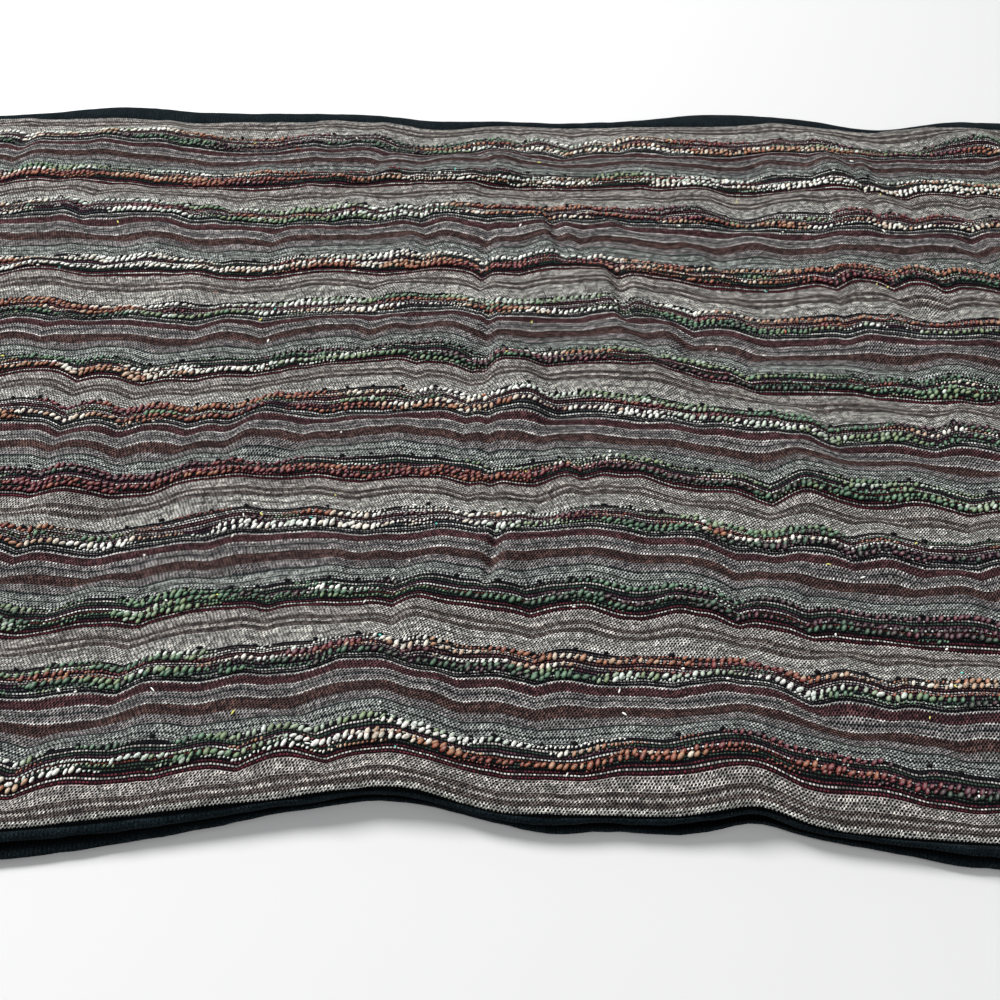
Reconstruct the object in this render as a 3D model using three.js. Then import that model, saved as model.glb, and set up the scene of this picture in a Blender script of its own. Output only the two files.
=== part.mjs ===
import * as THREE from 'three';

// Infinity scarf laid flat: a closed band of striped woven cloth with a knitted lining inside it.
// The band is pressed flat, so an upper run lies on a lower run and a soft fold closes each end.
// Millimetres. +X runs along the band, +Y across it towards the back edge, +Z up from the surface.

const flatLength = 760; // between the two end folds, half of the loop's way round
const clothWidth = 330; // woven cloth, front edge to back edge
const drawnIn = 0.98; // small ripples draw the laid cloth in across its width
const middleOffset = -1.081; // puts the outline's middle on the origin
const cornerPull = 3; // the four corners lie this far inside the end folds' middles

const weaveThickness = 1.5;
const liningThickness = 1.2;
const seamGap = 0.3; // between pieces that touch
const liningDepth = weaveThickness + seamGap; // lining's outer face under the weave's outer face
const runDepth = liningDepth + liningThickness; // weave and lining of one run together
const pileHeight = 2 * runDepth + seamGap; // both runs, where the band lies flat

const endRadius = 4.9; // outer radius of the fold at each end
const endSwell = 44; // the run rises to the end fold over this length
const endSteps = 3; // steps in each quarter of an end fold

const slubMiddles = [16.5, 44.2, 67, 96.7, 119.2, 148.3, 171.3, 201.3, 228.3, 262.5, 286.7, 312.5];
const slubBase = 9; // width of a slub band where it leaves the plain weave
const slubTop = 6; // width along its top
const slubRise = 1;

const openStep = 18; // station spacing along the plain stretches
const foldStep = 9; // station spacing where the folds are
const foldReach = 171; // the close stations run this far each way from the middle
const lowerStep = 36;

const rollUnder = 12; // the lining leaves its flat course this far under the weave's edge
const rollLift = 0.6; // share of the weave's lift that the rolled edge takes

// How the cloth lies along the band: each length moves it towards the back, at the front edge,
// the quarter, middle and three quarter lines and the back edge.
const lay = [
  { x: -380, front: -4, quarter: -3, middle: 0, far: 2, back: 2 },
  { x: -300, front: -7, quarter: -5, middle: -1, far: 2, back: 3 },
  { x: -220, front: -6, quarter: -6, middle: 0, far: 3, back: 5 },
  { x: -180, front: -5, quarter: -5, middle: 2.6, far: 4, back: 6.5 },
  { x: -140, front: -4, quarter: -4, middle: -1, far: 2, back: 2 },
  { x: -100, front: 0, quarter: 2.5, middle: 3, far: -1, back: 3 },
  { x: -60, front: 4.5, quarter: 3.5, middle: 7.5, far: 2, back: 3 },
  { x: -30, front: 7, quarter: 6, middle: 8.5, far: 4, back: -3 },
  { x: 0, front: 0.8, quarter: 3, middle: 3.5, far: 1, back: 0 },
  { x: 12, front: 0, quarter: 3.7, middle: 3.6, far: 1.4, back: -0.6 },
  { x: 30, front: -0.3, quarter: 5, middle: 4.5, far: 2.5, back: -2 },
  { x: 48, front: -0.9, quarter: 2.9, middle: 3.6, far: 2.4, back: -1.5 },
  { x: 60, front: -0.4, quarter: 1, middle: 2, far: 1.5, back: -1 },
  { x: 72, front: 0.5, quarter: -0.7, middle: -0.9, far: -0.5, back: -0.8 },
  { x: 86, front: -3.3, quarter: -2.7, middle: -5, far: -3.4, back: -0.6 },
  { x: 100, front: -5.4, quarter: -4.5, middle: -8, far: -5.5, back: -0.5 },
  { x: 140, front: -8, quarter: -8, middle: -7.5, far: -5, back: 0 },
  { x: 180, front: -9, quarter: -9, middle: -13, far: -6, back: -8 },
  { x: 220, front: -9, quarter: -9, middle: -11, far: -6, back: -4.5 },
  { x: 300, front: -6, quarter: -6, middle: -7, far: -4, back: -3 },
  { x: 380, front: -3, quarter: -3, middle: -4, far: -2, back: -1 },
];
const rails = ['front', 'quarter', 'middle', 'far', 'back'];

// How far the lining's rolled edge stands out past the weave, on each run at the front and on
// both at the back.
const hem = [
  { x: -380, upperFront: 3, lowerFront: 3, back: 3 },
  { x: -300, upperFront: 3, lowerFront: 4, back: 4 },
  { x: -220, upperFront: 4, lowerFront: 5, back: 7 },
  { x: -180, upperFront: 4, lowerFront: 6.4, back: 11 },
  { x: -140, upperFront: 3, lowerFront: 6.9, back: 10.4 },
  { x: -100, upperFront: 3.4, lowerFront: 5.8, back: 9.2 },
  { x: -60, upperFront: 1.8, lowerFront: 2.1, back: 7.8 },
  { x: -30, upperFront: 1.2, lowerFront: 1.4, back: 9 },
  { x: 0, upperFront: 1.6, lowerFront: 1.6, back: 5.8 },
  { x: 12, upperFront: 2, lowerFront: 3.6, back: 5.7 },
  { x: 30, upperFront: 1.4, lowerFront: 2.9, back: 6.2 },
  { x: 48, upperFront: 1.6, lowerFront: 3.6, back: 6.4 },
  { x: 60, upperFront: 1.4, lowerFront: 2.4, back: 7 },
  { x: 72, upperFront: 1.1, lowerFront: 1.3, back: 8.5 },
  { x: 86, upperFront: 1.1, lowerFront: 1.2, back: 10.8 },
  { x: 100, upperFront: 1.2, lowerFront: 1.9, back: 12 },
  { x: 140, upperFront: 3.6, lowerFront: 6.2, back: 7.8 },
  { x: 180, upperFront: 4, lowerFront: 5.4, back: 5 },
  { x: 220, upperFront: 3, lowerFront: 4, back: 8 },
  { x: 300, upperFront: 3, lowerFront: 3, back: 5 },
  { x: 380, upperFront: 3, lowerFront: 3, back: 3 },
];

// Folds of the upper run, each a ridge round (x, y). Its crest leans from +Y towards +X by turn
// degrees and runs for reach each way. It rises over left, falls over right, and carries the
// stripes back by slip.
const folds = [
  { x: -2, y: 127, turn: 0, reach: 12, left: 13, right: 13, rise: 4, slip: 0.5 },
  { x: 19, y: 82, turn: -8, reach: 20, left: 24, right: 4, rise: 2.4, slip: 0.5 },
  { x: 42, y: 47, turn: -6, reach: 22, left: 30, right: 4.5, rise: 3.2, slip: 1.5 },
  { x: 51, y: 14, turn: -27, reach: 20, left: 26, right: 5, rise: 3, slip: 1 },
  { x: 92, y: -8, turn: -55, reach: 26, left: 20, right: 12, rise: 2, slip: 0.5 },
  { x: -4, y: 40, turn: 4, reach: 18, left: 8, right: 8, rise: 2.6, slip: 0.5 },
  { x: 9, y: -6, turn: -6, reach: 17, left: 10, right: 7, rise: 4, slip: 1 },
  { x: -2, y: -79, turn: 8, reach: 18, left: 14, right: 12, rise: 2.4, slip: 0.5 },
  { x: -38, y: -132, turn: -4, reach: 40, left: 40, right: 26, rise: 2.6, slip: 0 },
  { x: 72, y: -150, turn: 6, reach: 26, left: 22, right: 16, rise: 2.4, slip: 1 },
  { x: 158, y: 108, turn: 5, reach: 24, left: 26, right: 5, rise: 3.4, slip: 1.5 },
  { x: 112, y: -49, turn: 58, reach: 18, left: 14, right: 7, rise: 2.4, slip: 1 },
  { x: -172, y: 146, turn: 84, reach: 48, left: 12, right: 12, rise: 3.4, slip: 0 },
  { x: -118, y: 52, turn: 30, reach: 44, left: 24, right: 24, rise: 2.2, slip: 0 },
  { x: -152, y: -62, turn: 12, reach: 30, left: 18, right: 10, rise: 2.6, slip: 0.5 },
  { x: 206, y: 150, turn: -70, reach: 36, left: 12, right: 14, rise: 3.6, slip: 0 },
  { x: 186, y: -20, turn: -14, reach: 46, left: 24, right: 16, rise: 2.6, slip: 0.5 },
  { x: 262, y: -96, turn: 18, reach: 44, left: 26, right: 14, rise: 3.6, slip: 1 },
  { x: 284, y: 66, turn: -20, reach: 50, left: 22, right: 18, rise: 3.2, slip: 1 },
  { x: -248, y: -104, turn: -16, reach: 46, left: 18, right: 26, rise: 3.6, slip: 1 },
  { x: -290, y: 72, turn: 14, reach: 52, left: 24, right: 20, rise: 3.2, slip: 1 },
];
const restLoft = 0.6; // the weave lies this far off its lining between the folds

function ease(share) {
  const t = THREE.MathUtils.clamp(share, 0, 1);
  return t * t * (3 - 2 * t);
}

// A smooth curve through a column of a table whose rows stand at x.
function curveAt(table, column, x) {
  const last = table.length - 1;
  const next = Math.max(1, table.findIndex((row) => row.x >= x));
  const slope = (row) => {
    const a = table[Math.max(row - 1, 0)];
    const b = table[Math.min(row + 1, last)];
    return (b[column] - a[column]) / (b.x - a.x);
  };
  const from = table[next - 1];
  const to = table[next];
  const span = to.x - from.x;
  const t = (x - from.x) / span;
  const value = (1 + 2 * t) * (1 - t) ** 2 * from[column] + t * t * (3 - 2 * t) * to[column];
  return value + span * (t * (1 - t) ** 2 * slope(next - 1) - t * t * (1 - t) * slope(next));
}

// Place across the band, before any fold slips it, of the line v from the front edge.
function acrossAt(x, v) {
  const place = THREE.MathUtils.clamp(v / clothWidth, 0, 1) * (rails.length - 1);
  const low = Math.min(Math.floor(place), rails.length - 2);
  const share = ease(place - low);
  const before = curveAt(lay, rails[low], x);
  const after = curveAt(lay, rails[low + 1], x);
  const moved = THREE.MathUtils.lerp(before, after, share);
  return (v - clothWidth / 2) * drawnIn + moved + middleOffset;
}

// Rise and slip of the upper run over the point (x, y).
function foldAt(x, y) {
  let rise = restLoft;
  let slip = 0;
  for (const fold of folds) {
    const turn = THREE.MathUtils.degToRad(fold.turn);
    const along = (x - fold.x) * Math.sin(turn) + (y - fold.y) * Math.cos(turn);
    const across = (x - fold.x) * Math.cos(turn) - (y - fold.y) * Math.sin(turn);
    const width = across < 0 ? fold.left : fold.right;
    const share = Math.exp(-((across / width) ** 2) - (along / fold.reach) ** 4);
    rise += fold.rise * share;
    slip += fold.slip * share;
  }
  return { rise, slip };
}

// Stations round half of the band: x and z of the weave's outer face, the way out of it, the
// part of a fold's rise that it takes and the part of the slub bands' height.
function upperStations() {
  const straight = flatLength / 2 - endRadius;
  const xs = [];
  const outerCount = Math.round((straight - foldReach) / openStep);
  for (let i = 0; i < outerCount; i += 1) {
    xs.push(-straight + (i * (straight - foldReach)) / outerCount);
  }
  for (let x = -foldReach; x <= foldReach; x += foldStep) {
    xs.push(x);
  }
  for (let i = outerCount - 1; i >= 0; i -= 1) {
    xs.push(straight - (i * (straight - foldReach)) / outerCount);
  }
  const run = xs.map((x) => {
    const open = ease((straight - Math.abs(x)) / endSwell);
    const z = THREE.MathUtils.lerp(2 * endRadius, pileHeight, open);
    return { x, z, outX: 0, outZ: 1, lifted: open, ribbed: 1 };
  });
  return [...endQuarter(-1, 1), ...run, ...endQuarter(1, 1).reverse()];
}

function lowerStations() {
  const straight = flatLength / 2 - endRadius;
  const count = Math.round((2 * straight) / lowerStep);
  const run = [];
  for (let i = 0; i <= count; i += 1) {
    const x = straight - (2 * straight * i) / count;
    run.push({ x, z: 0, outX: 0, outZ: -1, lifted: 0, ribbed: 0 });
  }
  return [...endQuarter(1, -1), ...run, ...endQuarter(-1, -1).reverse()];
}

// One quarter of an end fold, from its outermost line towards the run. The two quarters of an
// end stop half a seam gap short of each other, where the loop's seam would be.
function endQuarter(side, half) {
  const stations = [];
  for (let i = 0; i < endSteps; i += 1) {
    const angle = (i / endSteps) * (Math.PI / 2);
    const outX = side * Math.cos(angle);
    const outZ = half * Math.sin(angle);
    const x = side * (flatLength / 2 - endRadius) + endRadius * outX;
    const z = endRadius + endRadius * outZ + (i === 0 ? (half * seamGap) / 2 : 0);
    stations.push({ x, z, outX, outZ, lifted: 0, ribbed: half > 0 ? i / endSteps : 0 });
  }
  return stations;
}

// A point of the cloth: v from the front edge, depth in from the weave's outer face.
function clothPoint(station, v, depth, rise, slip) {
  const toCorner = ((2 * v) / clothWidth - 1) ** 2 * ease(Math.abs(station.x) / (flatLength / 2));
  const inset = cornerPull * toCorner;
  const x = station.x - station.outX * depth - Math.sign(station.x) * inset;
  const y = acrossAt(station.x, v) + slip * station.lifted;
  return new THREE.Vector3(x, y, station.z - station.outZ * depth + rise * station.lifted);
}

// Two rows of points that run the same way across are joined by a strip of triangles.
function stitch(faces, first, second) {
  let i = 0;
  let j = 0;
  while (i < first.length - 1 || j < second.length - 1) {
    const shareFirst = (i + 1) / (first.length - 1);
    const shareSecond = (j + 1) / (second.length - 1);
    if (j === second.length - 1 || (i < first.length - 1 && shareFirst <= shareSecond)) {
      faces.push(first[i], first[i + 1], second[j]);
      i += 1;
    } else {
      faces.push(first[i], second[j + 1], second[j]);
      j += 1;
    }
  }
}

// A closed wall between an outer and an inner sheet of rows, one row of each for every station.
function wallGeometry(outer, inner) {
  const points = [];
  const numbered = (sheet) => sheet.map((row) => row.map((point) => points.push(point) - 1));
  const out = numbered(outer);
  const inn = numbered(inner);
  const faces = [];
  const last = out.length - 1;
  for (let s = 0; s < last; s += 1) {
    stitch(faces, out[s + 1], out[s]);
    stitch(faces, inn[s], inn[s + 1]);
    faces.push(out[s][0], inn[s][0], inn[s + 1][0], out[s][0], inn[s + 1][0], out[s + 1][0]);
    const a = out[s].at(-1);
    const b = out[s + 1].at(-1);
    const c = inn[s].at(-1);
    const d = inn[s + 1].at(-1);
    faces.push(a, b, d, a, d, c);
  }
  stitch(faces, out[0], inn[0]);
  stitch(faces, inn[last], out[last]);
  const geometry = new THREE.BufferGeometry().setFromPoints(points);
  geometry.setIndex(faces);
  geometry.computeVertexNormals();
  return geometry;
}

// The weave's lines are its two edges and the feet of each slub band, whose raised top lies
// between them.
function wovenUpperRun() {
  const bandFeet = slubMiddles.flatMap((v) => [v - slubBase / 2, v + slubBase / 2]);
  const feet = [0, ...bandFeet, clothWidth];
  const outer = [];
  const inner = [];
  for (const station of upperStations()) {
    const lie = feet.map((v) => foldAt(station.x, acrossAt(station.x, v)));
    outer.push([]);
    inner.push([]);
    feet.forEach((v, i) => {
      outer.at(-1).push(clothPoint(station, v, 0, lie[i].rise, lie[i].slip));
      inner.at(-1).push(clothPoint(station, v, weaveThickness, lie[i].rise, lie[i].slip));
      const band = (i - 1) / 2;
      if (Number.isInteger(band) && band < slubMiddles.length) {
        for (const side of [-1, 1]) {
          const top = slubMiddles[band] + (side * slubTop) / 2;
          const share = (top - v) / slubBase;
          const rise = THREE.MathUtils.lerp(lie[i].rise, lie[i + 1].rise, share);
          const slip = THREE.MathUtils.lerp(lie[i].slip, lie[i + 1].slip, share);
          outer.at(-1).push(clothPoint(station, top, -slubRise * station.ribbed, rise, slip));
        }
      }
    });
  }
  return wallGeometry(outer, inner);
}

function wovenLowerRun() {
  const lines = [0, 0.25, 0.5, 0.75, 1].map((share) => share * clothWidth);
  const row = (station, depth) => lines.map((v) => clothPoint(station, v, depth, 0, 0));
  const sheet = (depth) => lowerStations().map((station) => row(station, depth));
  return wallGeometry(sheet(0), sheet(weaveThickness));
}

// The lining lies flat inside the weave and swells into a soft roll past both long edges. Each
// row gives the share of the way from just past the weave's edge to the roll's tip, and how deep
// the roll's face lies there.
const rollOuter = [
  { share: 0, depth: liningDepth },
  { share: 0.18, depth: 0.9 },
  { share: 0.5, depth: 0.4 },
  { share: 0.85, depth: 0.9 },
];
const rollInner = [
  { share: 1, depth: 1.7 },
  { share: 0.86, depth: 2.7 },
  { share: 0.5, depth: runDepth },
];

function liningRun(stations, frontColumn) {
  const outer = [];
  const inner = [];
  for (const station of stations) {
    const edgeRise = [0, clothWidth].map((v) => foldAt(station.x, acrossAt(station.x, v)).rise);
    const side = (back) => {
      const reach = curveAt(hem, back ? 'back' : frontColumn, station.x);
      const edge = back ? clothWidth : 0;
      const outward = back ? 1 : -1;
      const rise = edgeRise[back ? 1 : 0] * rollLift;
      const at = (row) => {
        const past = seamGap + row.share * (reach - seamGap);
        const point = clothPoint(station, edge, row.depth, rise, 0);
        point.y += outward * past;
        return point;
      };
      const root = (depth) => clothPoint(station, edge - outward * rollUnder, depth, 0, 0);
      return {
        outer: [...rollOuter.map(at).reverse(), root(liningDepth)],
        inner: [...rollInner.map(at), root(runDepth)],
      };
    };
    const front = side(false);
    const back = side(true);
    outer.push([...front.outer, ...back.outer.reverse()]);
    inner.push([...front.inner, ...back.inner.reverse()]);
  }
  return wallGeometry(outer, inner);
}

const weave = new THREE.MeshStandardMaterial({ color: 0x6f6866, roughness: 0.92, metalness: 0 });
const lining = new THREE.MeshStandardMaterial({ color: 0x0b0d12, roughness: 0.97, metalness: 0 });

function piece(name, geometry, material) {
  const mesh = new THREE.Mesh(geometry, material);
  mesh.name = name;
  return mesh;
}

const infinityScarf = new THREE.Group();
infinityScarf.add(
  piece('woven_upper_run', wovenUpperRun(), weave),
  piece('woven_lower_run', wovenLowerRun(), weave),
  piece('lining_upper_run', liningRun(upperStations(), 'upperFront'), lining),
  piece('lining_lower_run', liningRun(lowerStations(), 'lowerFront'), lining),
);

export default infinityScarf;
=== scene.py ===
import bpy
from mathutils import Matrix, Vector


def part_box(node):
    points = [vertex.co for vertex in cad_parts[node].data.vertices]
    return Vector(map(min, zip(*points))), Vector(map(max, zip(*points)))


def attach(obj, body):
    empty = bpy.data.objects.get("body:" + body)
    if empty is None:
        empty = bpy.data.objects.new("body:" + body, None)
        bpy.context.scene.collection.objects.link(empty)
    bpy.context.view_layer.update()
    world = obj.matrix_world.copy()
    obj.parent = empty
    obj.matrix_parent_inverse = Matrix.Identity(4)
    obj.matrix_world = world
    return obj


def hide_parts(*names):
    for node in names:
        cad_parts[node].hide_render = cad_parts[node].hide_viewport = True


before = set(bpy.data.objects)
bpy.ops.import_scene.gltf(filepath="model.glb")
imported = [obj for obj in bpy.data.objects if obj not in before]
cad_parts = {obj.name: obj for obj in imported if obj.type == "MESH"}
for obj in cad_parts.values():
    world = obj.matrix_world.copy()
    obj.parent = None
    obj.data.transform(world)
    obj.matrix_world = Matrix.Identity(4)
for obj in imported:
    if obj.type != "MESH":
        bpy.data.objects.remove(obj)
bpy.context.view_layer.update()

import math

import bpy
import numpy as np
from mathutils import Vector

# Infinity scarf laid flat. Lengths are in millimetres, and every mesh is scaled to metres.
toMetres = 0.001


def inMm(nodeName, axis):
    low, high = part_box(nodeName)
    return (high[axis] - low[axis]) / toMetres


cloth = {
    "flatLength": round(inMm("woven_lower_run", 0), 1),  # between the two end folds
    "width": 330.0,  # woven cloth, front edge to back edge
    "drawnIn": 0.98,  # laid width for each millimetre of cloth
    "middleOffset": -1.081,  # centres the outline on the origin
    "cornerPull": 3.0,  # the corners at the end folds lie this far in
    "weave": 1.5,  # thickness
    "lining": 1.2,  # thickness
    "gap": 0.3,  # between one layer and the next
    "endRadius": 4.9,  # of the cloth's outer face round the end folds
    "endSwell": 44.0,  # the pile comes to its height over this length from each end fold
    "loft": 0.6,  # the weave lies this far off its lining between the folds
}
liningDepth = cloth["weave"] + cloth["gap"]
runDepth = liningDepth + cloth["lining"]
pileHeight = 2 * runDepth + cloth["gap"]
straight = cloth["flatLength"] / 2 - cloth["endRadius"]  # half of each flat run
arc = math.pi * cloth["endRadius"]
wayRound = 4 * straight + 2 * arc

# the cloth lies this far towards the back, at five lines across it
lay = {
    "x": (
        -380, -300, -220, -180, -140, -100, -60, -30, 0, 12, 30,
        48, 60, 72, 86, 100, 140, 180, 220, 300, 380,
    ),
    "front": (
        -4, -7, -6, -5, -4, 0, 4.5, 7, 0.8, 0, -0.3,
        -0.9, -0.4, 0.5, -3.3, -5.4, -8, -9, -9, -6, -3,
    ),
    "quarter": (
        -3, -5, -6, -5, -4, 2.5, 3.5, 6, 3, 3.7, 5,
        2.9, 1, -0.7, -2.7, -4.5, -8, -9, -9, -6, -3,
    ),
    "middle": (
        0, -1, 0, 2.6, -1, 3, 7.5, 8.5, 3.5, 3.6, 4.5,
        3.6, 2, -0.9, -5, -8, -7.5, -13, -11, -7, -4,
    ),
    "far": (
        2, 2, 3, 4, 2, -1, 2, 4, 1, 1.4, 2.5,
        2.4, 1.5, -0.5, -3.4, -5.5, -5, -6, -6, -4, -2,
    ),
    "back": (
        2, 3, 5, 6.5, 2, 3, 3, -3, 0, -0.6, -2,
        -1.5, -1, -0.8, -0.6, -0.5, 0, -8, -4.5, -3, -1,
    ),
}
rails = ("front", "quarter", "middle", "far", "back")

# how far the lining's rolled edge stands out past the weave
hem = {
    "x": lay["x"],
    "upperFront": (
        3, 3, 4, 4, 3, 3.4, 1.8, 1.2, 1.6, 2, 1.4,
        1.6, 1.4, 1.1, 1.1, 1.2, 3.6, 4, 3, 3, 3,
    ),
    "lowerFront": (
        3, 4, 5, 6.4, 6.9, 5.8, 2.1, 1.4, 1.6, 3.6, 2.9,
        3.6, 2.4, 1.3, 1.2, 1.9, 6.2, 5.4, 4, 3, 3,
    ),
    "back": (
        3, 4, 7, 11, 10.4, 9.2, 7.8, 9, 5.8, 5.7, 6.2,
        6.4, 7, 8.5, 10.8, 12, 7.8, 5, 8, 5, 3,
    ),
}

# folds of the upper run: a crest through (x, y) leaning from +Y to +X by turn degrees, with its
# reach along the crest and its width to the left and right
folds = [
    dict(x=-2, y=127, turn=0, reach=12, left=13, right=13, rise=4, slip=0.5),
    dict(x=19, y=82, turn=-8, reach=20, left=24, right=4, rise=2.4, slip=0.5),
    dict(x=42, y=47, turn=-6, reach=22, left=30, right=4.5, rise=3.2, slip=1.5),
    dict(x=51, y=14, turn=-27, reach=20, left=26, right=5, rise=3, slip=1),
    dict(x=92, y=-8, turn=-55, reach=26, left=20, right=12, rise=2, slip=0.5),
    dict(x=-4, y=40, turn=4, reach=18, left=8, right=8, rise=2.6, slip=0.5),
    dict(x=9, y=-6, turn=-6, reach=17, left=10, right=7, rise=4, slip=1),
    dict(x=-2, y=-79, turn=8, reach=18, left=14, right=12, rise=2.4, slip=0.5),
    dict(x=-38, y=-132, turn=-4, reach=40, left=40, right=26, rise=2.6, slip=0),
    dict(x=72, y=-150, turn=6, reach=26, left=22, right=16, rise=2.4, slip=1),
    dict(x=158, y=108, turn=5, reach=24, left=26, right=5, rise=3.4, slip=1.5),
    dict(x=112, y=-49, turn=58, reach=18, left=14, right=7, rise=2.4, slip=1),
    dict(x=-172, y=146, turn=84, reach=48, left=12, right=12, rise=3.4, slip=0),
    dict(x=-118, y=52, turn=30, reach=44, left=24, right=24, rise=2.2, slip=0),
    dict(x=-152, y=-62, turn=12, reach=30, left=18, right=10, rise=2.6, slip=0.5),
    dict(x=206, y=150, turn=-70, reach=36, left=12, right=14, rise=3.6, slip=0),
    dict(x=186, y=-20, turn=-14, reach=46, left=24, right=16, rise=2.6, slip=0.5),
    dict(x=262, y=-96, turn=18, reach=44, left=26, right=14, rise=3.6, slip=1),
    dict(x=284, y=66, turn=-20, reach=50, left=22, right=18, rise=3.2, slip=1),
    dict(x=-248, y=-104, turn=-16, reach=46, left=18, right=26, rise=3.6, slip=1),
    dict(x=-290, y=72, turn=14, reach=52, left=24, right=20, rise=3.2, slip=1),
]

# small sharp creases and pinches on top of the folds
creases = [
    dict(x=-3, y=-79, turn=10, reach=12, left=1.6, right=2.2, rise=-3.2, slip=-1.0),
    dict(x=3, y=-78, turn=10, reach=12, left=2.2, right=6.0, rise=1.4, slip=0),
    dict(x=-7, y=66, turn=4, reach=20, left=2.0, right=2.6, rise=-2.4, slip=-1.2),
    dict(x=-5, y=20, turn=2, reach=26, left=2.2, right=2.8, rise=-2.6, slip=-1.4),
    dict(x=-4, y=-34, turn=-3, reach=24, left=2.0, right=2.6, rise=-2.0, slip=-1.2),
    dict(x=27.5, y=80, turn=-8, reach=13, left=2.0, right=7.0, rise=1.4, slip=0),
    dict(x=53, y=50, turn=-2, reach=17, left=2.2, right=9.0, rise=1.9, slip=0.6),
    dict(x=58.5, y=18, turn=-25, reach=13, left=2.2, right=8.0, rise=1.7, slip=0.6),
    dict(x=48, y=50, turn=-2, reach=17, left=1.6, right=1.8, rise=-2.2, slip=-0.8),
    dict(x=40, y=96, turn=-50, reach=20, left=4.0, right=3.0, rise=1.4, slip=0.4),
    dict(x=80, y=70, turn=-30, reach=16, left=5.0, right=2.6, rise=1.3, slip=0.5),
    dict(x=165, y=104, turn=-4, reach=14, left=2.0, right=7.0, rise=1.6, slip=0.4),
    dict(x=24, y=80, turn=-10, reach=15, left=2.4, right=3.0, rise=-2.2, slip=-0.8),
    dict(x=57, y=22, turn=-22, reach=9, left=2.6, right=3.4, rise=-2.4, slip=-0.6),
    dict(x=159, y=106, turn=-4, reach=15, left=1.6, right=1.8, rise=-2.4, slip=0),
    dict(x=0, y=-152, turn=16, reach=7, left=1.8, right=2.0, rise=-1.8, slip=0),
    dict(x=-112, y=131, turn=70, reach=16, left=3.0, right=2.4, rise=-1.8, slip=0),
    dict(x=-60, y=120, turn=84, reach=20, left=3.4, right=2.6, rise=1.6, slip=0),
    dict(x=136, y=60, turn=-38, reach=22, left=5.0, right=3.0, rise=1.8, slip=0.4),
    dict(x=103, y=44, turn=6, reach=22, left=8.0, right=8.0, rise=-1.2, slip=0),
    dict(x=-86, y=-20, turn=20, reach=24, left=6.0, right=4.0, rise=1.4, slip=0.3),
    dict(x=-30, y=8, turn=-16, reach=16, left=5.0, right=4.0, rise=1.5, slip=0.4),
    dict(x=24, y=-44, turn=-10, reach=18, left=5.0, right=3.4, rise=1.4, slip=0.5),
    dict(x=-54, y=-88, turn=12, reach=20, left=6.0, right=4.0, rise=1.2, slip=0.3),
    dict(x=70, y=100, turn=-64, reach=22, left=4.0, right=3.0, rise=1.6, slip=0.3),
    dict(x=222, y=40, turn=-30, reach=30, left=6.0, right=4.0, rise=1.8, slip=0.3),
    dict(x=-214, y=10, turn=24, reach=34, left=7.0, right=4.0, rise=1.8, slip=0.3),
    dict(x=320, y=-20, turn=12, reach=40, left=7.0, right=5.0, rise=1.8, slip=0.4),
    dict(x=-322, y=-30, turn=-10, reach=38, left=6.0, right=7.0, rise=1.8, slip=0.4),
]


def ease(share):
    t = np.clip(share, 0.0, 1.0)
    return t * t * (3.0 - 2.0 * t)


def curveAt(table, column, x):  # a smooth curve through a column whose rows stand at x
    xs = np.array(table["x"], float)
    values = np.array(table[column], float)
    slopes = np.empty_like(values)
    slopes[1:-1] = (values[2:] - values[:-2]) / (xs[2:] - xs[:-2])
    slopes[0] = (values[1] - values[0]) / (xs[1] - xs[0])
    slopes[-1] = (values[-1] - values[-2]) / (xs[-1] - xs[-2])
    row = np.clip(np.searchsorted(xs, x) - 1, 0, len(xs) - 2)
    span = xs[row + 1] - xs[row]
    t = (x - xs[row]) / span
    value = (1 + 2 * t) * (1 - t) ** 2 * values[row] + t * t * (3 - 2 * t) * values[row + 1]
    return value + span * (t * (1 - t) ** 2 * slopes[row] - t * t * (1 - t) * slopes[row + 1])


def acrossAt(x, v):  # place across the band of the line v from the front edge
    place = np.clip(v / cloth["width"], 0, 1) * (len(rails) - 1)
    low = np.minimum(np.floor(place), len(rails) - 2).astype(int)
    moved = np.array([curveAt(lay, rail, x) for rail in rails])
    before = np.take_along_axis(moved, low[None], 0)[0]
    after = np.take_along_axis(moved, low[None] + 1, 0)[0]
    share = ease(place - low)
    sideways = before + (after - before) * share
    return (v - cloth["width"] / 2) * cloth["drawnIn"] + sideways + cloth["middleOffset"]


def foldAt(x, y, table):  # how far the table's folds lift the cloth and slip it to the back
    rise = np.zeros(np.broadcast(x, y).shape)
    slip = np.zeros_like(rise)
    for fold in table:
        turn = math.radians(fold["turn"])
        along = (x - fold["x"]) * math.sin(turn) + (y - fold["y"]) * math.cos(turn)
        across = (x - fold["x"]) * math.cos(turn) - (y - fold["y"]) * math.sin(turn)
        wide = np.where(across < 0, fold["left"], fold["right"])
        share = np.exp(-((across / wide) ** 2) - (along / fold["reach"]) ** 4)
        rise += fold["rise"] * share
        slip += fold["slip"] * share
    return rise, slip


noiseCells = 1023  # the noise comes round again after this many cells
noiseMiddle = 400.0  # cells from its corner to the origin


def softNoise(x, y, cellX, cellY, seed):  # smooth bumps between -1 and 1
    gx = np.asarray(x, float) / cellX + noiseMiddle
    gy = np.asarray(y, float) / cellY + noiseMiddle
    values = np.random.default_rng(seed).uniform(-1, 1, (noiseCells + 1, noiseCells + 1))
    ix = np.floor(gx).astype(int) % noiseCells
    iy = np.floor(gy).astype(int) % noiseCells
    tx = ease(gx - np.floor(gx))
    ty = ease(gy - np.floor(gy))
    low = values[ix, iy] * (1 - tx) + values[ix + 1, iy] * tx
    high = values[ix, iy + 1] * (1 - tx) + values[ix + 1, iy + 1] * tx
    return low * (1 - ty) + high * ty


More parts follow.
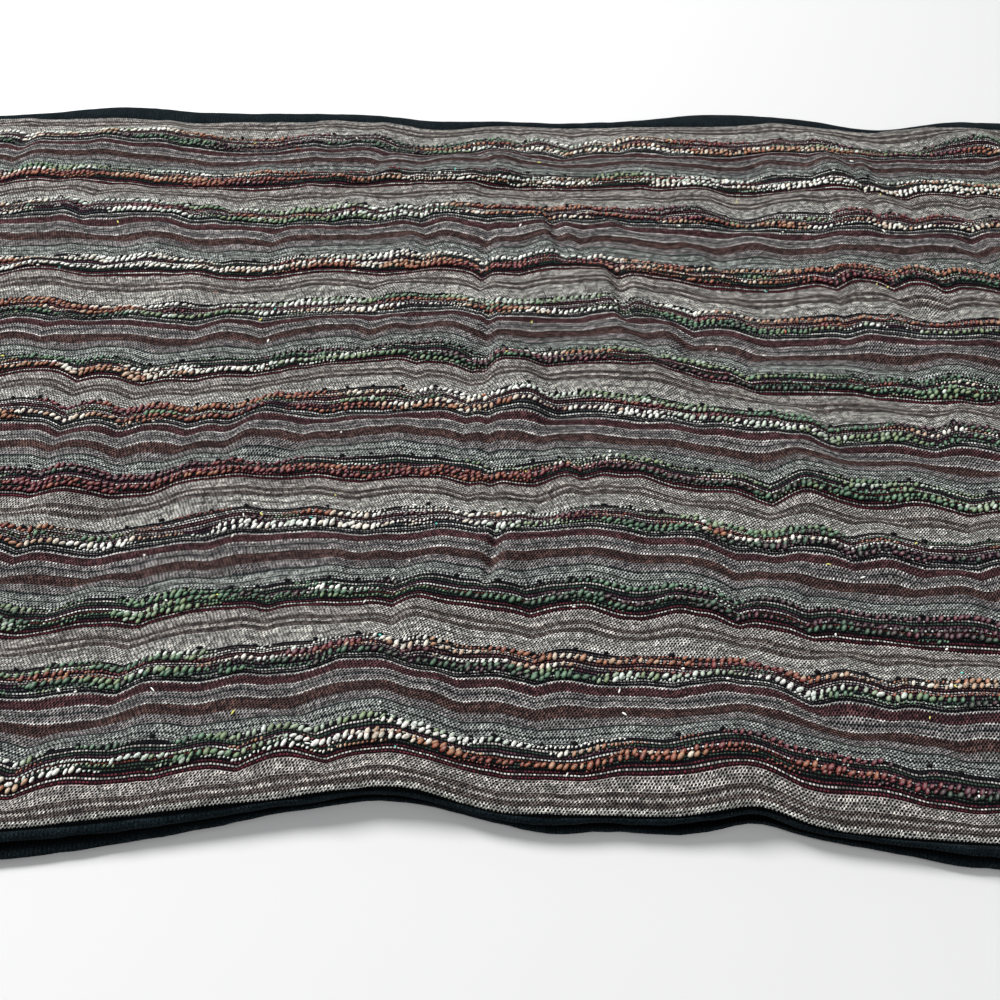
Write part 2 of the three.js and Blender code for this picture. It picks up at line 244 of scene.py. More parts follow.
# outer line of the loop, s on from the middle of the upper run towards +X: its point, the way out
# from it and how far open the pile is there
def pathAt(s):
    s = (np.asarray(s, float) + straight) % wayRound - straight
    x = np.empty_like(s)
    z = np.empty_like(s)
    outX = np.zeros_like(s)
    outZ = np.ones_like(s)
    lifted = np.zeros_like(s)
    upper = s <= straight
    right = (s > straight) & (s < straight + arc)
    lower = (s >= straight + arc) & (s <= 3 * straight + arc)
    left = s > 3 * straight + arc
    radius = cloth["endRadius"]
    opened = ease((straight - np.abs(s)) / cloth["endSwell"])
    x[upper] = s[upper]
    z[upper] = (2 * radius + (pileHeight - 2 * radius) * opened)[upper]
    lifted[upper] = opened[upper]
    for half, side, start in ((right, 1, straight), (left, -1, 3 * straight + arc)):
        angle = side * (math.pi / 2 - (s[half] - start) / radius)
        outX[half] = side * np.cos(angle)
        outZ[half] = np.sin(angle)
        x[half] = side * straight + radius * outX[half]
        z[half] = radius + radius * outZ[half]
    x[lower] = 2 * straight + arc - s[lower]
    z[lower] = 0
    outZ[lower] = -1
    return x, z, outX, outZ, lifted


ripples = {  # small waves of the upper run: height, cell along, cell across, seed
    "rise": ((0.8, 30, 44, 11), (0.95, 13, 18, 12), (0.42, 6, 8, 13)),
    "slip": ((0.9, 34, 40, 21), (1.0, 15, 24, 22), (0.45, 7, 13, 23)),
    "gather": (2.1, 21, 25, 24),  # arcs that meet in sharp notches, where the bands pull the cloth in
    "arcLow": 0.6,  # how far the notches go below the arcs' middle
    "arcRise": 0.4,  # the arcs are cut off here upwards
    "arcSlip": 0.9,  # and here sideways
    "notch": 0.9,  # how deep the notches press in
    "still": 14.0,  # the waves grow over this width from the long edges
    "hollow": 0.35,  # hollows keep this share of their depth
    "lowest": -0.1,  # and the cloth goes no lower than this
}


def clothPoint(s, v, depth, lively=1.0):  # v from the front edge, depth in from the outer face
    s, v, depth = np.broadcast_arrays(*[np.asarray(value, float) for value in (s, v, depth)])
    x, z, outX, outZ, lifted = pathAt(s)
    y = acrossAt(x, v)
    rise, slip = foldAt(x, y, folds)
    sharpRise, sharpSlip = foldAt(x, y, creases)
    waves = sum(size * softNoise(x, y, *cell) for size, *cell in ripples["rise"])
    drift = sum(size * softNoise(x, y, *cell) for size, *cell in ripples["slip"])
    size, *cell = ripples["gather"]
    arcs = np.abs(softNoise(x, y, *cell)) * 2 - ripples["arcLow"]
    free = ease(np.minimum(v, cloth["width"] - v) / ripples["still"])
    waves = waves + ripples["notch"] * np.minimum(arcs, ripples["arcRise"]) * free
    drift = (drift + size * np.minimum(arcs, ripples["arcSlip"])) * free
    rise = rise + lively * (sharpRise + waves)
    rise = cloth["loft"] + np.where(rise > 0, rise, rise * ripples["hollow"])
    rise = np.maximum(rise, ripples["lowest"])
    slip = slip + lively * (sharpSlip + drift)
    toEnd = ease(np.abs(x) / (cloth["flatLength"] / 2))
    inset = cloth["cornerPull"] * (2 * v / cloth["width"] - 1) ** 2 * toEnd
    px = x - outX * depth - np.sign(x) * inset
    py = y + slip * lifted
    pz = z - outZ * depth + rise * lifted
    return np.stack([px, py, pz], -1)


def loopFaces(rows, columns):  # the quads of a grid that closes on itself both ways
    i, j = np.meshgrid(np.arange(rows), np.arange(columns), indexing="ij")
    nextI = (i + 1) % rows
    nextJ = (j + 1) % columns
    corners = [i * columns + j, nextI * columns + j, nextI * columns + nextJ, i * columns + nextJ]
    return np.stack(corners, -1).reshape(-1, 4)


def makeMesh(name, points, faces, place, material):  # place becomes the uv map, one pair a point
    mesh = bpy.data.meshes.new(name)
    points = np.asarray(points, float).reshape(-1, 3) * toMetres
    mesh.vertices.add(len(points))
    mesh.vertices.foreach_set("co", points.ravel())
    mesh.loops.add(faces.size)
    mesh.loops.foreach_set("vertex_index", faces.ravel().astype(np.int32))
    mesh.polygons.add(len(faces))
    mesh.polygons.foreach_set("loop_start", np.arange(0, faces.size, faces.shape[1], dtype=np.int32))
    mesh.polygons.foreach_set("use_smooth", np.ones(len(faces), bool))
    mesh.update(calc_edges=True)
    layer = mesh.uv_layers.new(name="clothPlace")
    layer.uv.foreach_set("vector", np.asarray(place, float).reshape(-1, 2)[faces.ravel()].ravel())
    mesh.materials.append(material)
    piece = bpy.data.objects.new(name, mesh)
    bpy.context.collection.objects.link(piece)
    return piece


# materials

class Nodes:  # short calls for wiring a material
    def __init__(self, name):
        self.material = bpy.data.materials.new(name)
        self.material.use_nodes = True
        self.tree = self.material.node_tree
        self.shader = self.tree.nodes["Principled BSDF"]

    def add(self, kind, inputs=(), **settings):
        node = self.tree.nodes.new(kind)
        for key, value in settings.items():
            setattr(node, key, value)
        for key, value in dict(inputs).items():
            self.feed(node.inputs[key], value)
        return node

    def feed(self, socket, value):
        if isinstance(value, bpy.types.NodeSocket):
            self.tree.links.new(value, socket)
        else:
            socket.default_value = value

    def math(self, operation, *values):
        return self.add("ShaderNodeMath", enumerate(values), operation=operation).outputs[0]

    def place(self):
        uv = self.add("ShaderNodeUVMap", uv_map="clothPlace").outputs[0]
        parts = self.add("ShaderNodeSeparateXYZ", {0: uv})
        return parts.outputs[0], parts.outputs[1]

    def vector(self, x, y, z=0.0):
        return self.add("ShaderNodeCombineXYZ", {0: x, 1: y, 2: z}).outputs[0]

    def scaled(self, s, v, scales, z=0.0):  # for noise that is longer one way than the other
        return self.vector(self.math("MULTIPLY", s, scales[0]), self.math("MULTIPLY", v, scales[1]), z)

    def fromMiddle(self, share):
        return self.math("ABSOLUTE", self.math("SUBTRACT", share, 0.5))

    def noise(self, vector, scale, detail=2.0, rough=0.5):
        inputs = {"Vector": vector, "Scale": scale, "Detail": detail, "Roughness": rough}
        return self.add("ShaderNodeTexNoise", inputs).outputs[0]

    def random(self, vector):
        return self.add("ShaderNodeTexWhiteNoise", {"Vector": vector}, noise_dimensions="3D").outputs[0]

    def soften(self, value, low, high, newLow=0.0, newHigh=1.0):
        inputs = {"Value": value, "From Min": low, "From Max": high}
        inputs.update({"To Min": newLow, "To Max": newHigh})
        return self.add("ShaderNodeMapRange", inputs, interpolation_type="SMOOTHSTEP").outputs[0]

    def mix(self, share, first, second):
        return self.add("ShaderNodeMix", {0: share, 6: first, 7: second}, data_type="RGBA").outputs[2]

    def ramp(self, share, stops, smooth=False):
        node = self.add("ShaderNodeValToRGB", {0: share})
        node.color_ramp.interpolation = "LINEAR" if smooth else "CONSTANT"
        elements = node.color_ramp.elements
        while len(elements) < len(stops):
            elements.new(0.5)
        for element, stop in zip(elements, stops):
            element.position = stop[0]
        for element, stop in zip(elements, stops):  # once all of them stand in order
            element.color = (*stop[1], 1.0)
        return node.outputs[0]

    def bump(self, height, distance, strength=1.0):
        inputs = {"Height": height, "Distance": distance, "Strength": strength}
        return self.add("ShaderNodeBump", inputs).outputs[0]


stripes = {
    "repeat": 53.5,
    "start": 10.85,  # the first repeat starts this far from the front edge
    "thread": 0.7,  # one row of floats
    "float": 1.06,  # one float and the gap after it
    "step": 0.74,  # each row's gaps lie this far on from the last row's
    "slant": 0.38,  # a gap leans this far over one row
    "row": 0.95,  # yarn rows of the slub bands
    "dash": 1.05,  # one stitch of a slub band's thin yarns
    "bandEnds": ((0.0, 11.4), (29.9, 39.4)),  # the two slub bands of a repeat
    "stray": 1.3,  # the stripes wander this far across the cloth
    "strayScale": (0.06, 0.12),
    "sway": 1.1,  # and the floats this far along it
    "swayScale": (0.3, 0.5),
    "stainScale": (0.035, 0.9),  # darker stretches along the yarns
    "stain": (0.42, 0.62, 0.0, 0.85),
}
# the twill's pale floats and the dark gaps between them, in shares of a float and of a row
twillLook = {
    "gapHalf": (0.16, 0.17),  # a gap's least half length, and how much more it can be
    "gapEnds": (-0.05, 0.09),  # how soft its ends are
    "gapSides": (0.3, 0.48),  # and its sides
    "paintedCrest": (0.2, 0.5, 0.36, 0.7),  # painted shade beside a gap and painted highlight at the float's middle: brightness from one to the other
    "sparkle": (0.5, 2.3),  # brightness of the dullest and the brightest float
    "sparklePower": 2.2,  # more makes bright floats rarer
    "clump": (0.34, 0.66, 0.5, 1.5),  # brightness of dull and bright patches
    "dashLength": (0.2, 0.42),  # of the stitches in the slub bands
    "dashWidth": (0.08, 0.36),
    "dashPale": (0.2, 1.25),  # brightness of the dullest and the brightest stitch
}
# where the slub bands' middles lie across the laid cloth, and in the even run of the stripes
bandMiddles = (16.5, 44.2, 67, 96.7, 119.2, 148.3, 171.3, 201.3, 228.3, 262.5, 286.7, 312.5)
evenStarts = (17.5, 45.5)  # middles of the first two bands
evenMiddles = [stripes["repeat"] * (i // 2) + evenStarts[i % 2] for i in range(len(bandMiddles))]
laidEnds, evenEnds = (-1.0, 336.0), (0.0, 338.0)  # just past both long edges


def evenPlace(v):  # where a line across the laid cloth is in the even run of the stripes
    laid = (laidEnds[0], *bandMiddles, laidEnds[1])
    return np.interp(v, laid, (evenEnds[0], *evenMiddles, evenEnds[1]))


ink = (0.004, 0.004, 0.005, 1.0)
colours = {
    "white": (0.92, 0.90, 0.86),
    "pale": (0.62, 0.59, 0.55),
    "greenGrey": (0.886, 0.87, 0.798),
    "pinkGrey": (0.776, 0.725, 0.669),
    "tealGrey": (0.60, 0.64, 0.60),
    "grey": (0.437, 0.403, 0.399),
    "teal": (0.08, 0.105, 0.10),
    "brown": (0.23, 0.19, 0.17),
    "maroon": (0.163, 0.072, 0.076),
    "brownMaroon": (0.168, 0.097, 0.084),
    "red": (0.15, 0.03, 0.04),
    "rust": (0.15, 0.05, 0.035),
    "green": (0.06, 0.10, 0.07),
    "plum": (0.11, 0.05, 0.07),
    "black": (0.02, 0.02, 0.022),
}

# stripes of one repeat, from the front: where each starts and its colour
stripeRows = [
    (0.0, "red"), (0.95, "pinkGrey"), (1.5, "red"), (2.4, "black"), (3.3, "green"),
    (4.75, "rust"), (5.7, "white"), (6.65, "plum"), (7.6, "green"), (8.55, "pale"),
    (9.5, "black"), (10.4, "tealGrey"), (12.7, "teal"), (13.1, "tealGrey"), (14.9, "teal"),
    (15.5, "grey"), (18.2, "brownMaroon"), (21.7, "white"), (22.2, "grey"), (23.7, "teal"),
    (24.1, "grey"), (25.3, "white"), (25.8, "maroon"), (28.6, "white"), (29.2, "black"),
]
# the rest of the repeat, from its second band on
laterRows = [
    (0.0, "black"), (29.9, "white"), (30.85, "teal"), (31.8, "plum"), (33.7, "white"),
    (34.65, "maroon"), (36.5, "white"), (37.5, "brown"), (38.4, "black"), (39.4, "white"),
    (39.9, "greenGrey"), (42.2, "pale"), (42.8, "greenGrey"), (45.2, "brown"), (46.9, "pinkGrey"),
    (47.9, "brown"), (49.5, "pinkGrey"), (51.2, "pale"), (51.8, "pinkGrey"), (53.1, "red"),
]


def rampStops(rows):
    return [(start / stripes["repeat"], colours[name]) for start, name in rows]


def wovenMaterial():
    n = Nodes("stripedWeave")
    s, v = n.place()
    wander = n.noise(n.scaled(s, v, stripes["strayScale"]), 1.0, 3.0)
    drift = n.math("MULTIPLY", n.math("SUBTRACT", wander, 0.5), stripes["stray"])
    line = n.math("ADD", v, drift)
    turns = n.math("DIVIDE", n.math("SUBTRACT", line, stripes["start"]), stripes["repeat"])
    share = n.math("FRACT", n.math("ADD", turns, 1.0))
    firstEnd = stripes["bandEnds"][0][1]
    laterStart, laterEnd = stripes["bandEnds"][1]
    isLater = n.math("GREATER_THAN", share, laterStart / stripes["repeat"])
    firstHalf, laterHalf = n.ramp(share, rampStops(stripeRows)), n.ramp(share, rampStops(laterRows))
    yarn = n.mix(isLater, firstHalf, laterHalf)
    inRepeat = n.math("MULTIPLY", share, stripes["repeat"])

    # twill: short slanted gaps between the pale floats, each row's a step on from the last row's
    rows = n.math("DIVIDE", line, stripes["thread"])
    row, inRow = n.math("FLOOR", rows), n.math("FRACT", rows)
    sway = n.noise(n.scaled(s, line, stripes["swayScale"], 4.3), 1.0)
    sway = n.math("MULTIPLY", sway, stripes["sway"])
    leaning = n.math("MULTIPLY", inRow, stripes["slant"])
    onward = n.math("ADD", n.math("MULTIPLY", row, stripes["step"]), leaning)
    step = n.math("DIVIDE", n.math("SUBTRACT", n.math("ADD", s, sway), onward), stripes["float"])
    inStep = n.fromMiddle(n.math("FRACT", step))
    whichStep = n.math("FLOOR", step)
    lively = n.random(n.vector(whichStep, row))
    shortest, extra = twillLook["gapHalf"]
    reach = n.math("ADD", n.math("MULTIPLY", lively, extra), shortest)
    gap = n.soften(n.math("SUBTRACT", inStep, reach), *twillLook["gapEnds"], 1.0, 0.0)
    tall = n.soften(n.fromMiddle(inRow), *twillLook["gapSides"], 1.0, 0.0)
    twill = n.math("SUBTRACT", 1.0, n.math("MULTIPLY", gap, tall))
    # painted shade and highlight: each float is darker beside its gaps and lighter at its middle
    twill = n.math("MULTIPLY", twill, n.soften(inStep, *twillLook["paintedCrest"]))
    sparkle = n.random(n.vector(row, whichStep, 7.0))
    sparkle = n.math("POWER", sparkle, twillLook["sparklePower"])
    twill = n.math("MULTIPLY", twill, n.soften(sparkle, 0.0, 1.0, *twillLook["sparkle"]))
    clump = n.noise(n.vector(s, n.math("MULTIPLY", line, 0.9), 0.37), 1.0, 2.0, 0.85)
    twill = n.math("MULTIPLY", twill, n.soften(clump, *twillLook["clump"]))

    # slub bands: coarser rows of short stitches
    bandRows = n.math("DIVIDE", inRepeat, stripes["row"])
    bandRow, inBandRow = n.math("FLOOR", bandRows), n.math("FRACT", bandRows)
    whichRepeat = n.math("FLOOR", turns)
    offset = n.random(n.vector(bandRow, whichRepeat, 3.0))
    stitch = n.math("ADD", n.math("DIVIDE", s, stripes["dash"]), offset)
    inStitch = n.fromMiddle(n.math("FRACT", stitch))
    dash = n.soften(inStitch, *twillLook["dashLength"], 1.0, 0.0)
    wide = n.soften(n.fromMiddle(inBandRow), *twillLook["dashWidth"], 1.0, 0.0)
    pale = n.random(n.vector(n.math("FLOOR", stitch), bandRow, whichRepeat))
    pale = n.soften(pale, 0.0, 1.0, *twillLook["dashPale"])
    dashes = n.math("MULTIPLY", n.math("MULTIPLY", dash, wide), pale)
    inFirst = n.math("LESS_THAN", inRepeat, firstEnd)
    laterMiddle, laterHalfWidth = (laterStart + laterEnd) / 2, (laterEnd - laterStart) / 2
    inBand = n.math("MAXIMUM", inFirst, n.math("COMPARE", inRepeat, laterMiddle, laterHalfWidth))
    shown = n.add("ShaderNodeMix", {0: inBand, 2: twill, 3: dashes}).outputs[0]

    stain = n.noise(n.scaled(s, line, stripes["stainScale"]), 1.0, 4.0, 0.65)
    dim = n.mix(0.55, yarn, ink)
    tint = n.mix(n.soften(stain, *stripes["stain"]), yarn, dim)
    colour = n.mix(shown, ink, tint)
    n.feed(n.shader.inputs["Base Color"], colour)
    n.shader.inputs["Roughness"].default_value = 0.9
    n.shader.inputs["Specular IOR Level"].default_value = 0.0
    n.feed(n.shader.inputs["Normal"], n.bump(shown, 0.0003, 0.8))
    return n.material


yarnColours = [  # the space-dyed slub yarn, once round its colours
    (0.00, (0.92, 0.92, 0.86)), (0.06, (0.84, 0.78, 0.66)), (0.11, (0.54, 0.36, 0.24)),
    (0.16, (0.37, 0.155, 0.078)), (0.22, (0.27, 0.078, 0.042)), (0.29, (0.19, 0.038, 0.032)),
    (0.36, (0.16, 0.024, 0.036)), (0.45, (0.09, 0.022, 0.042)), (0.52, (0.045, 0.018, 0.03)),
    (0.58, (0.024, 0.045, 0.032)), (0.64, (0.055, 0.13, 0.08)), (0.72, (0.12, 0.24, 0.14)),
    (0.78, (0.20, 0.27, 0.13)), (0.84, (0.32, 0.41, 0.29)), (0.89, (0.66, 0.74, 0.66)),
    (0.95, (0.92, 0.92, 0.86)), (1.00, (0.92, 0.92, 0.86)),
]


def slubMaterial():
    n = Nodes("slubYarn")
    along, rim = n.place()  # place in the yarn's colours; 1 at a bead's rim, 0 at its top, which sets the painted highlight at the top and the painted shade at the rim
    colour = n.ramp(n.math("FRACT", along), yarnColours, smooth=True)
    where = n.add("ShaderNodeTexCoord").outputs["Object"]
    patch = n.noise(where, 900.0, 2.0)
    fibre = n.noise(where, 3200.0, 3.0, 0.7)
    dark = n.mix(0.7, colour, ink)
    body = n.mix(n.soften(patch, 0.42, 0.68, 0.0, 0.75), colour, dark)
    # painted highlight: the top of each bead is mixed towards a pale colour, and fibre noise breaks it
    # up
    paintedTopHighlight = n.mix(n.soften(rim, 0.45, 0.08, 0.0, 0.42), body, (0.66, 0.64, 0.58, 1.0))
    fibreBrokenHighlight = n.mix(n.soften(fibre, 0.35, 0.7), paintedTopHighlight, body)
    # painted shade: each bead darkens to black towards its rim
    paintedRimShade = n.mix(n.soften(rim, 0.28, 0.86, 0.0, 0.97), fibreBrokenHighlight, ink)
    n.feed(n.shader.inputs["Base Color"], paintedRimShade)
    n.shader.inputs["Roughness"].default_value = 0.85
    n.shader.inputs["Specular IOR Level"].default_value = 0.06
    n.feed(n.shader.inputs["Normal"], n.bump(fibre, 0.0004, 1.0))
    return n.material


def liningMaterial():
    n = Nodes("blackLining")
    s, unshaded = n.place()
    where = n.add("ShaderNodeTexCoord").outputs["Object"]
    nap = n.noise(where, 2400.0, 4.0, 0.75)
    fuzz = n.noise(where, 900.0, 3.0, 0.7)
    broad = n.noise(where, 160.0, 3.0)
    grain = n.math("MULTIPLY", n.soften(nap, 0.42, 0.7), n.soften(broad, 0.25, 0.75, 0.5, 1.4))
    knit = n.mix(grain, (0.0014, 0.003, 0.004, 1.0), (0.016, 0.025, 0.03, 1.0))
    # painted shade: the lining darkens to near black deep in the groove between the two runs
    colour = n.mix(unshaded, (0.0004, 0.0005, 0.0006, 1.0), knit)
    n.feed(n.shader.inputs["Base Color"], colour)
    n.shader.inputs["Roughness"].default_value = 0.95
    n.shader.inputs["Sheen Weight"].default_value = 0.02
    n.shader.inputs["Specular IOR Level"].default_value = 0.0
    ribs = n.math("SINE", n.math("MULTIPLY", s, 5.4))
    relief = n.math("ADD", n.math("MULTIPLY", fuzz, 1.6), n.math("MULTIPLY", ribs, 0.22))
    n.feed(n.shader.inputs["Normal"], n.bump(relief, 0.0005, 1.0))
    return n.material


weaveFinish = wovenMaterial()
slubFinish = slubMaterial()
liningFinish = liningMaterial()
print("materials made")


# the woven loop

slubs = {"base": 9.0, "top": 6.0, "rise": 0.5}  # ridge under a band: both widths and the height


def bandRaise(v):  # height of the ridges along the line v
    raised = np.zeros_like(v)
    for middle in bandMiddles:
        away = np.abs(v - middle)
        share = ease((slubs["base"] / 2 - away) / ((slubs["base"] - slubs["top"]) / 2))
        raised = np.maximum(raised, share)
    return raised * slubs["rise"]


weaveGrid = {
    "fineStep": 1.3,  # along the upper run, out to fineReach from its middle
    "fineReach": 65.0,
    "closeStep": 2.5,  # from there to closeReach
    "closeReach": 240.0,
    "openStep": 5.5,  # and on to the end folds
    "endSteps": 9,  # round each end fold
    "lowerStep": 15.0,  # along the lower run
    "bandStep": 1.12,  # across a band
    "plainStep": 2.3,  # across the cloth between bands
    "edge": (0.0, 0.35, 0.9),  # lines close to each long edge
    "edgeRound": 1.6,  # the long edges are rounded over this width
    "innerEdge": 0.6,  # the inner face starts this far in
    "innerLines": 36,
    "innerSink": 0.1,  # the inner face stands this far off the full thickness
}


def stationsRound(lowerStep):  # places round the loop, closest in the middle of the upper run
    reach, fine = weaveGrid["closeReach"], weaveGrid["fineReach"]
    outerCount = round((straight - reach) / weaveGrid["openStep"])
    closeCount = round((reach - fine) / weaveGrid["closeStep"])
    outer = np.linspace(-straight, -reach, outerCount, endpoint=False)
    close = np.linspace(-reach, -fine, closeCount, endpoint=False)
    half = np.concatenate([outer, close])
    middle = np.linspace(-fine, fine, round(2 * fine / weaveGrid["fineStep"]) + 1)
    roundEnd = arc * np.arange(1, weaveGrid["endSteps"]) / weaveGrid["endSteps"]
    rightArc = straight + roundEnd
    lower = np.linspace(straight + arc, 3 * straight + arc, round(2 * straight / lowerStep))
    leftArc = 3 * straight + arc + roundEnd
    return np.concatenate([half, middle, -half[::-1], rightArc, lower, leftArc])


def wovenLoop():
    stations = stationsRound(weaveGrid["lowerStep"])
    width, rounded = cloth["width"], weaveGrid["edgeRound"]
    halfBase = slubs["base"] / 2
    marks = [rounded, *[v for m in bandMiddles for v in (m - halfBase, m + halfBase)], width - rounded]
    lines = [np.array(weaveGrid["edge"])]
    for number, (low, high) in enumerate(zip(marks[:-1], marks[1:])):
        step = weaveGrid["bandStep"] if number % 2 else weaveGrid["plainStep"]
        lines.append(np.linspace(low, high, max(2, round((high - low) / step)), endpoint=False))
    lines += [np.array([width - rounded]), width - lines[0][::-1]]
    outer = np.concatenate(lines)
    inner = np.linspace(width - weaveGrid["innerEdge"], weaveGrid["innerEdge"], weaveGrid["innerLines"])
    fromEdge = np.minimum(outer, width - outer)
    outerDepth = cloth["weave"] / 2 * (1 - np.clip(fromEdge / rounded, 0, 1)) ** 2
    innerDepth = np.full_like(inner, cloth["weave"] - weaveGrid["innerSink"])
    v = np.concatenate([outer, inner])
    depth = np.concatenate([outerDepth, innerDepth])
    raised = np.concatenate([bandRaise(outer), np.zeros_like(inner)])
    lower = pathAt(stations)[3] < 0
    depthGrid = depth[None, :] - np.where(lower[:, None], 0.0, raised[None, :])
    points = clothPoint(stations[:, None], v[None, :], depthGrid)
    place = np.stack(np.broadcast_arrays(stations[:, None], evenPlace(v)[None, :]), -1)
    faces = loopFaces(len(stations), len(v))
    return makeMesh("wovenLoop", points, faces, place, weaveFinish)


woven = wovenLoop()
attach(woven, "root")
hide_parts("woven_upper_run", "woven_lower_run")
print("woven loop:", len(woven.data.polygons), "faces")


# the lining, flat inside the weave and rolled past both long edges

roll = {
    "lowerStep": 4.0,  # along the lower run, whose edge shows in front
    "under": 12.0,  # the roll starts this far in from the weave's long edges
    "lift": 0.6,  # the roll rises with this share of the weave's folds
    "tuck": 0.4,  # share of the gap that the roll's start stands out
    "waves": ((0.35, 9, 31), (0.15, 3, 32)),  # of its edge: height, cell, seed
    # its section: share of the way out to the hem, and depth below the weave's outer face
    "outer": (
        (0.0, 1.8), (0.06, 1.3), (0.16, 0.85), (0.3, 0.5),
        (0.5, 0.4), (0.7, 0.55), (0.85, 0.9), (0.96, 1.4),
    ),
    "inner": ((1.0, 1.75), (0.97, 2.2), (0.88, 2.65), (0.72, 2.9), (0.5, 3.0)),
}


def liningLoop():
    stations = stationsRound(roll["lowerStep"])
    x, z, outX, outZ, lifted = pathAt(stations)
    upper = ease((outZ + 1) / 2)  # 1 on the upper run, 0 on the lower
    front = curveAt(hem, "lowerFront", x) * (1 - upper) + curveAt(hem, "upperFront", x) * upper
    back = curveAt(hem, "back", x)
    rows = []
    unshaded = []  # 1 on the face of the roll, 0 deep in the groove between the two runs, where the lining gets painted shade

    def foldRise(v):
        return foldAt(x, acrossAt(x, np.full_like(x, v)), folds)[0]

    def edgeRow(edge, outward, reach, share, depth):
        tuck = cloth["gap"] * roll["tuck"]
        wave = 0.0
        for size, cell, seed in roll["waves"]:
            wave = wave + size * softNoise(stations, edge, cell, cell, seed) * share
        row = clothPoint(stations, edge, depth, 0.0)
        lift = foldRise(edge) * roll["lift"] * lifted
        row[:, 2] += lift - (foldRise(edge) + cloth["loft"]) * lifted
        row[:, 1] += outward * (tuck + share * (reach + wave - tuck))
        rows.append(row)

    def innerRow(v, depth):
        row = clothPoint(stations, v, depth, 0.0)
        row[:, 2] -= (foldRise(v) + cloth["loft"]) * lifted
        rows.append(row)

    width = cloth["width"]
    across = (roll["under"], width / 2, width - roll["under"])
    for share, depth in reversed(roll["outer"]):
        edgeRow(0.0, -1, front, share, depth)
        unshaded.append(1.0)
    for v in across:
        innerRow(v, liningDepth)
        unshaded.append(1.0)
    for share, depth in roll["outer"]:
        edgeRow(width, 1, back, share, depth)
        unshaded.append(1.0)
    for share, depth in roll["inner"]:
        edgeRow(width, 1, back, share, depth)
        unshaded.append((share - 0.5) * 2)
    for v in reversed(across):
        innerRow(v, runDepth)
        unshaded.append(0.0)
    for share, depth in reversed(roll["inner"]):
        edgeRow(0.0, -1, front, share, depth)
        unshaded.append((share - 0.5) * 2)
    points = np.stack(rows, 1)
    place = np.stack(np.meshgrid(stations, np.array(unshaded), indexing="ij"), -1)
    faces = loopFaces(len(stations), len(rows))
    return makeMesh("liningLoop", points, faces, place, liningFinish)


lining = liningLoop()
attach(lining, "root")
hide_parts("lining_upper_run", "lining_lower_run")
print("lining loop:", len(lining.data.polygons), "faces")


# slub beads: the thick stretches of the space-dyed yarn, pinched by the crossing threads

# half: half sizes along the slanted bead, across it and upwards
# swell: how swollen the yarn is where it has this bead
beads = {
    "thick": {"pitch": 2.2, "half": (1.5, 0.8, 0.8), "grow": 1.0, "swell": (0.5, 1.1)},
    "thin": {"pitch": 1.25, "half": (0.7, 0.42, 0.46), "grow": 1.15, "swell": (0.1, 0.5)},
    "past": 4.0,  # the rows go on this far round the end folds
    "lean": 50.0,  # degrees off the band's line
    "leanSpread": 20.0,
    "stray": (0.2, 0.32),  # along, in pitches, and across, in millimetres
    "sizeSpread": (0.76, 1.16),
    "sideSpread": (0.88, 1.12),
    "dyeSpread": 0.035,
    "bandSeed": 500,
    "rowSeed": 700,
    "sides": 7,
    "rings": ((1.0, -0.1), (0.74, 0.66)),  # radius and height, as shares of the half sizes
    "under": -0.4,  # height of the middle of its underside
}

# rows of slub yarn in the two kinds of band: place from the band's middle, share of it that is
# swollen, which of the band's two dyes it has, and how far round the yarn's colours it is turned
slubRows = (
    (
        dict(at=3.5, fill=0.72, dye=0, turn=0.0),
        dict(at=2.1, fill=0.54, dye=0, turn=0.03),
        dict(at=0.7, fill=0.34, dye=0, turn=0.44),
        dict(at=-0.7, fill=0.68, dye=1, turn=-0.04),
        dict(at=-2.1, fill=0.84, dye=1, turn=0.0),
        dict(at=-3.4, fill=0.54, dye=1, turn=0.04),
    ),
    (
        dict(at=3.5, fill=0.64, dye=0, turn=0.0),
        dict(at=2.1, fill=0.70, dye=0, turn=0.02),
        dict(at=0.7, fill=0.30, dye=0, turn=0.5),
        dict(at=-0.6, fill=0.34, dye=1, turn=0.5),
        dict(at=-2.0, fill=0.82, dye=1, turn=0.0),
        dict(at=-3.4, fill=0.56, dye=1, turn=-0.03),
    ),
)
# where round the yarn's colours the back and the front rows of each band are, at five places from
# left to right, front band first
dyes = (
    ((0.92, 0.64, 1.02, 1.40, 1.70), (1.12, 0.72, 1.26, 1.33, 1.72)),
    ((0.60, 0.82, 1.10, 1.22, 0.98), (0.82, 0.62, 0.60, 0.96, 0.52)),
    ((0.70, 0.68, 0.60, 0.52, 0.40), (0.82, 0.72, 0.72, 0.52, 0.62)),
    ((0.28, 0.20, -0.04, -0.32, -0.42), (0.08, 0.0, -0.02, -0.46, -0.5)),
    ((0.46, 0.30, 0.76, 0.70, 0.84), (0.36, 0.30, 0.24, 0.64, 0.80)),
    ((0.30, 0.20, -0.02, -0.38, -0.5), (0.10, 0.36, 0.02, -0.06, -0.36)),
    ((0.70, 0.56, 0.50, 0.92, 0.62), (0.14, -0.02, -0.46, -0.54, -0.30)),
    ((0.24, -0.16, -0.27, 0.0, 0.26), (-0.40, -0.02, 0.08, -0.30, -0.04)),
    ((-0.06, -0.10, -0.02, 0.16, 0.30), (-0.14, 0.06, 0.36, 0.18, 0.50)),
    ((-0.08, -0.28, 0.16, 0.50, 0.34), (0.0, -0.30, 0.16, 0.26, 0.04)),
    ((-0.30, 0.32, 0.50, 0.94, 0.86), (0.18, 0.36, 0.02, -0.05, -0.02)),
    ((-0.10, 0.46, 0.68, 1.16, 1.50), (-0.40, -0.52, -0.04, 0.06, 0.28)),
)
dyePlaces = (-170.0, -85.0, 0.0, 85.0, 170.0)


